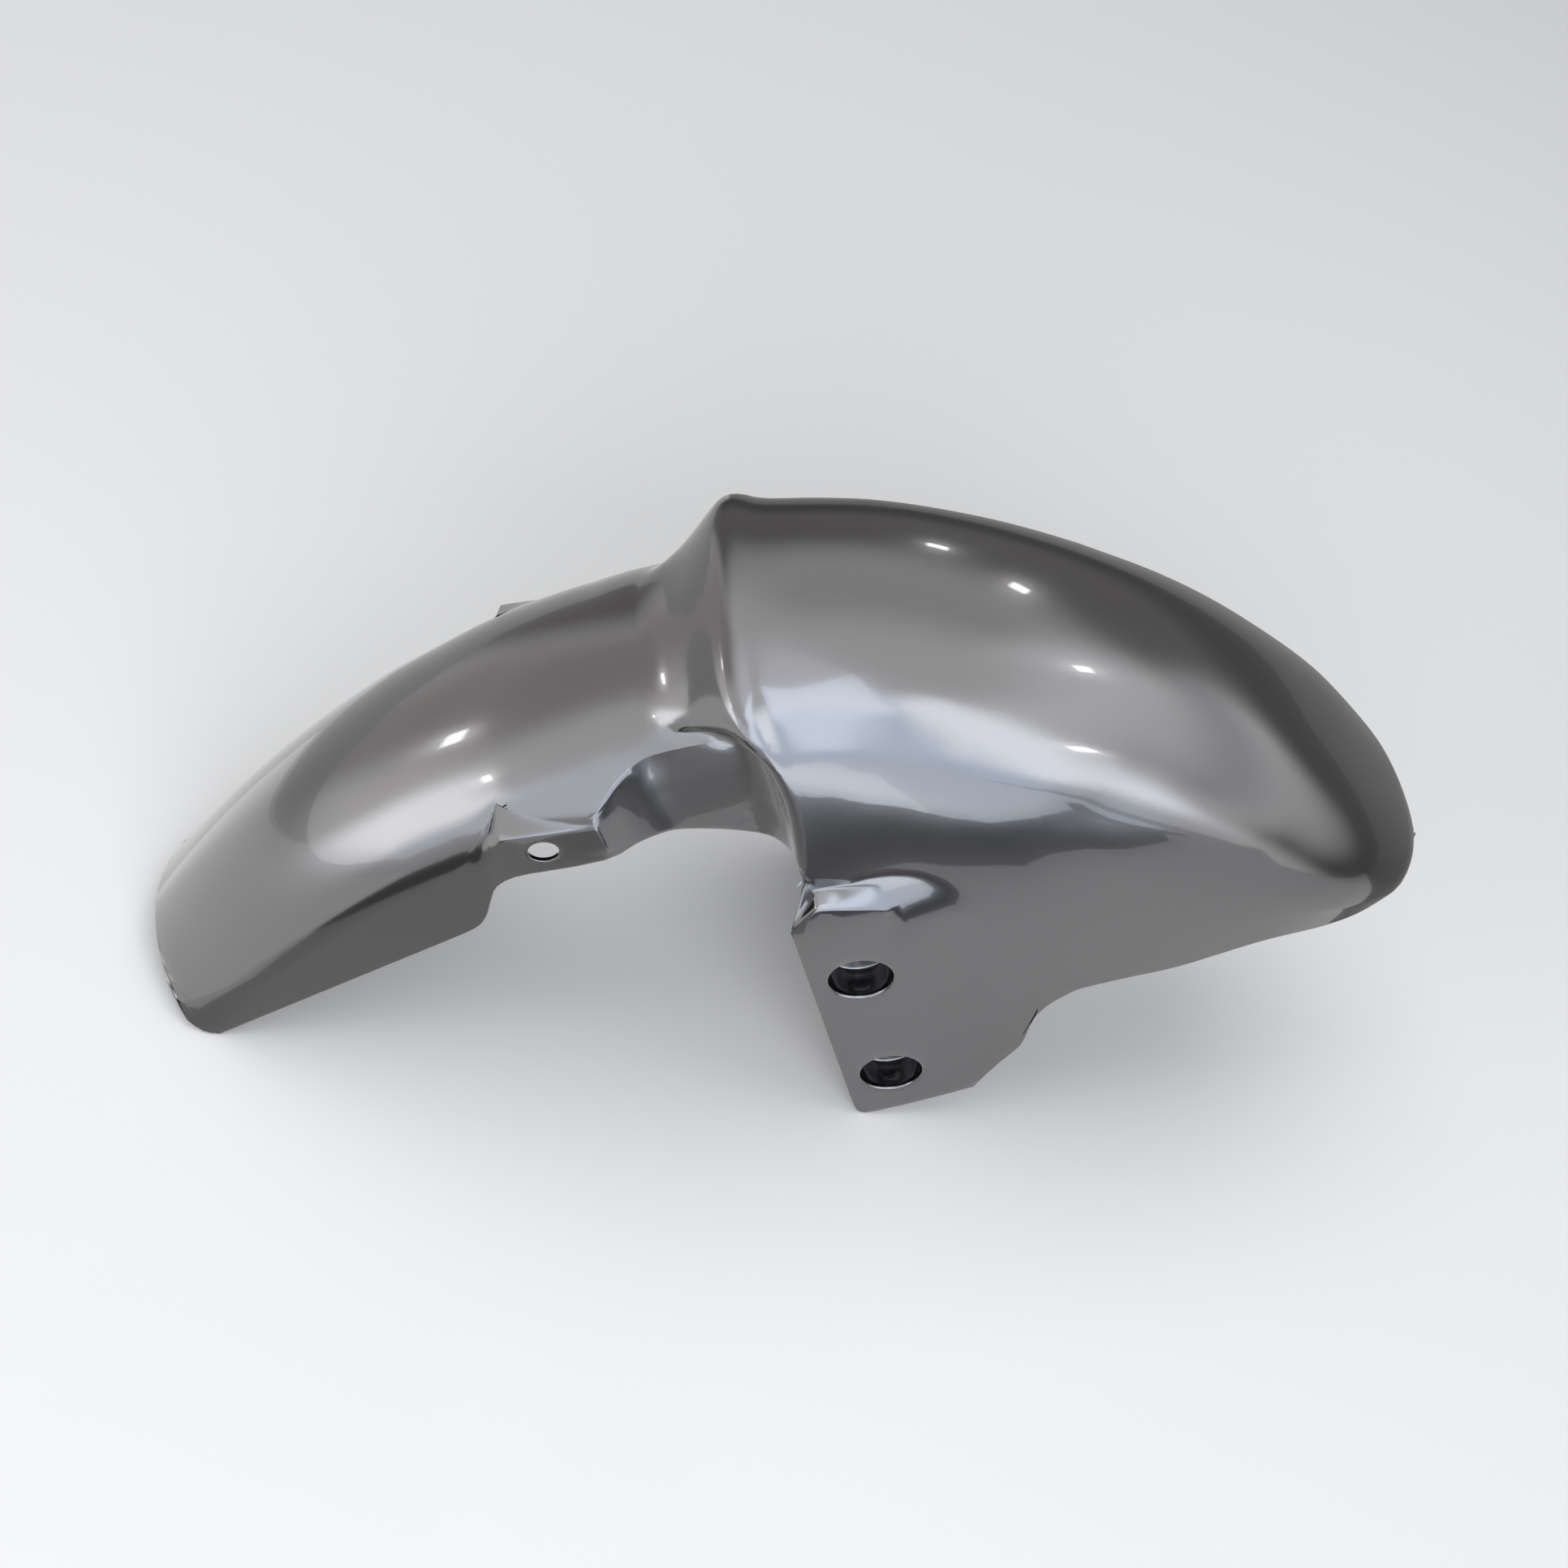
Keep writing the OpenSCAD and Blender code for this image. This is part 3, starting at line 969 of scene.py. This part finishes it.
@dataclass
class Studio:
    """The pale floor, the soft lamps, the reflected room and the camera.

    Attributes:
        floor_half: half of the floor's side, in metres.
        floor_drop: how far the floor lies under the part, in metres.
        floor_colour: colour of the floor.
        floor_roughness: dullness of the floor.
        floor_specular: strength of the floor's plain reflection.
        card_gap: height of each card over the one before, in metres.
        room_radius: radius of the room that shows in reflections.
        fill_colour: colour of the even light that fills the room.
        fill_strength: strength of that light.
    """

    floor_half: float = 3.0
    floor_drop: float = 0.0003
    floor_colour: Colour = (0.92, 0.92, 0.92)
    floor_roughness: float = 0.9
    floor_specular: float = 0.1
    card_gap: float = 0.0002
    room_radius: float = 2.9
    fill_colour: Colour = (0.9, 0.92, 0.95)
    fill_strength: float = 0.3

    def floor(self) -> None:
        """Lays the floor just under what stands on it."""
        bpy.ops.object.select_all(action="DESELECT")
        bpy.ops.mesh.primitive_plane_add(
            size=2 * self.floor_half, location=(0, 0, -self.floor_drop)
        )
        floor = bpy.context.object
        floor.name = "floor"
        nodes = Nodes.named("pale_floor")
        inputs = nodes.shader.inputs
        inputs["Base Color"].default_value = rgba(self.floor_colour)
        inputs["Roughness"].default_value = self.floor_roughness
        inputs["Specular IOR Level"].default_value = self.floor_specular
        floor.data.materials.append(nodes.material)
        floor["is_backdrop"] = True

    def room(self) -> None:
        """Sets the room around the part, painted by direction."""
        bpy.ops.object.select_all(action="DESELECT")
        bpy.ops.mesh.primitive_uv_sphere_add(
            segments=48, ring_count=24, radius=self.room_radius
        )
        room = bpy.context.object
        room.name = "reflected_room"
        room.data.materials.append(RoomPaint().material())
        self.only_reflected(room)

    @staticmethod
    def only_reflected(piece: bpy.types.Object) -> None:
        """Stages a piece of the set that shows in reflections and nowhere else.

        Args:
            piece: the piece.
        """
        piece.visible_camera = False
        piece.visible_diffuse = False
        piece.visible_shadow = False
        piece.visible_transmission = False
        piece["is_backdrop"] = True

    def cards(self) -> None:
        """Lays the flat cards on the floor, each a hair above the one before."""
        for index, card in enumerate(CARDS):
            height = self.card_gap * (index + 1)
            corners_of = [(x, y, height) for x, y in card.corners]
            mesh = bpy.data.meshes.new(card.name)
            mesh.from_pydata(corners_of, [], [range(len(corners_of))])
            piece = bpy.data.objects.new(card.name, mesh)
            bpy.context.scene.collection.objects.link(piece)
            nodes = Nodes.named(card.name)
            nodes.only_glows().default_value = rgba(card.colour, card.level)
            mesh.materials.append(nodes.material)
            self.only_reflected(piece)

    def world(self) -> None:
        """Fills the room with an even pale light.

        What the camera, a reflection or a view through the part sees past the floor is white.
        """
        world = bpy.data.worlds.new("room")
        bpy.context.scene.world = world
        world.use_nodes = True
        nodes, links = world.node_tree.nodes, world.node_tree.links
        fill = nodes["Background"]
        fill.inputs["Color"].default_value = rgba(self.fill_colour)
        fill.inputs["Strength"].default_value = self.fill_strength
        pale = nodes.new("ShaderNodeBackground")
        pale.inputs["Color"].default_value = rgba(WHITE)
        pale.inputs["Strength"].default_value = 1.0
        path = nodes.new("ShaderNodeLightPath")
        seen = path.outputs["Is Camera Ray"]
        for kind in ("Is Transmission Ray", "Is Glossy Ray"):
            either = nodes.new("ShaderNodeMath")
            either.operation = "MAXIMUM"
            links.new(seen, either.inputs[0])
            links.new(path.outputs[kind], either.inputs[1])
            seen = either.outputs["Value"]
        mix = nodes.new("ShaderNodeMixShader")
        links.new(seen, mix.inputs["Fac"])
        links.new(fill.outputs["Background"], mix.inputs[1])
        links.new(pale.outputs["Background"], mix.inputs[2])
        links.new(mix.outputs["Shader"], nodes["World Output"].inputs["Surface"])

    def build(self) -> None:
        """Sets up the whole studio."""
        self.floor()
        self.room()
        self.cards()
        for lamp in LAMPS:
            lamp.hang()
        self.world()
        Viewpoint().set_up()
        bpy.context.scene.view_settings.view_transform = "Standard"


def corners() -> list[list[float]]:
    """The two corners of the shown object's box, as plain lists."""
    return [list(corner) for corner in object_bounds()]


def main() -> None:
    """Builds the part's looks and the studio."""
    logging.basicConfig(level=logging.INFO, format="%(message)s")
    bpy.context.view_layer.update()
    shell = MouldedShell().build(frame["nodes"][NODE])
    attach(shell, BODY)
    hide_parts(NODE)
    log.info("%s: %d faces", shell.name, len(shell.data.polygons))
    Studio().build()


if __name__ == "__main__":
    main()
